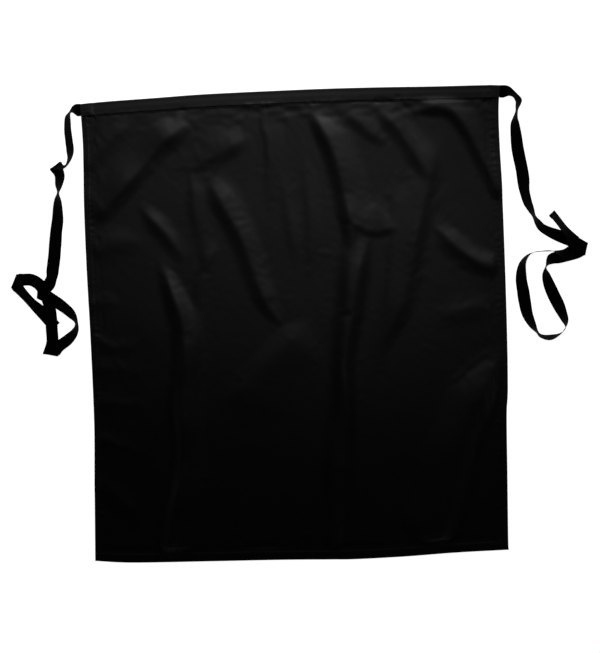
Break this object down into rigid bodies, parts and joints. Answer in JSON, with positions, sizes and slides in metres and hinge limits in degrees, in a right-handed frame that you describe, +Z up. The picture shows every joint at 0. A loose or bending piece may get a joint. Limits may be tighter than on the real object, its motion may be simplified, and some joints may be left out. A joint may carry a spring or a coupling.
{
  "type": "waist apron",
  "caption": "Plain cloth waist apron with a folded waistband, narrow hems and two long tape ties, lying on its back with soft fold creases.",
  "frame": {"origin": "middle of the underside of the cloth, on the surface it lies on, without the ties", "axes": "+Y from the bottom hem to the waistband, +Z up, out of the front of the cloth, +X along the waistband to the right as the front is seen"},
  "size_m": [1.1646, 0.9492, 0.0294],
  "materials": {
    "cloth": "black twill, matt with a faint sheen",
    "tape": "black woven tape, matt",
    "thread": "black sewing thread, slight sheen"
  },
  "bodies": {
    "apron": {"panel": "cloth", "left_side_hem": "cloth", "right_side_hem": "cloth", "bottom_hem": "cloth", "waistband": "cloth", "left_tie_tail": "tape", "right_tie_tail": "tape", "waistband_top_stitching": "thread", "waistband_seam_stitching": "thread", "left_band_end_stitching": "thread", "right_band_end_stitching": "thread", "left_side_hem_stitching": "thread", "right_side_hem_stitching": "thread", "bottom_hem_stitching": "thread"},
    "left_tie": {"left_tie": "tape", "left_tie_end_hem": "tape", "left_tie_end_stitching": "thread"},
    "right_tie": {"right_tie": "tape", "right_tie_end_hem": "tape", "right_tie_end_stitching": "thread"}
  },
  "joints": [
    {"name": "left_tie_fold", "type": "hinge", "parent": "apron", "child": "left_tie", "pos_m": [-0.4242, 0.4477, 0.0022], "axis": [0, 1, 0], "range_deg": [0, 100]},
    {"name": "right_tie_fold", "type": "hinge", "parent": "apron", "child": "right_tie", "pos_m": [0.4242, 0.4573, 0.0022], "axis": [0, -1, 0], "range_deg": [0, 100]}
  ]
}
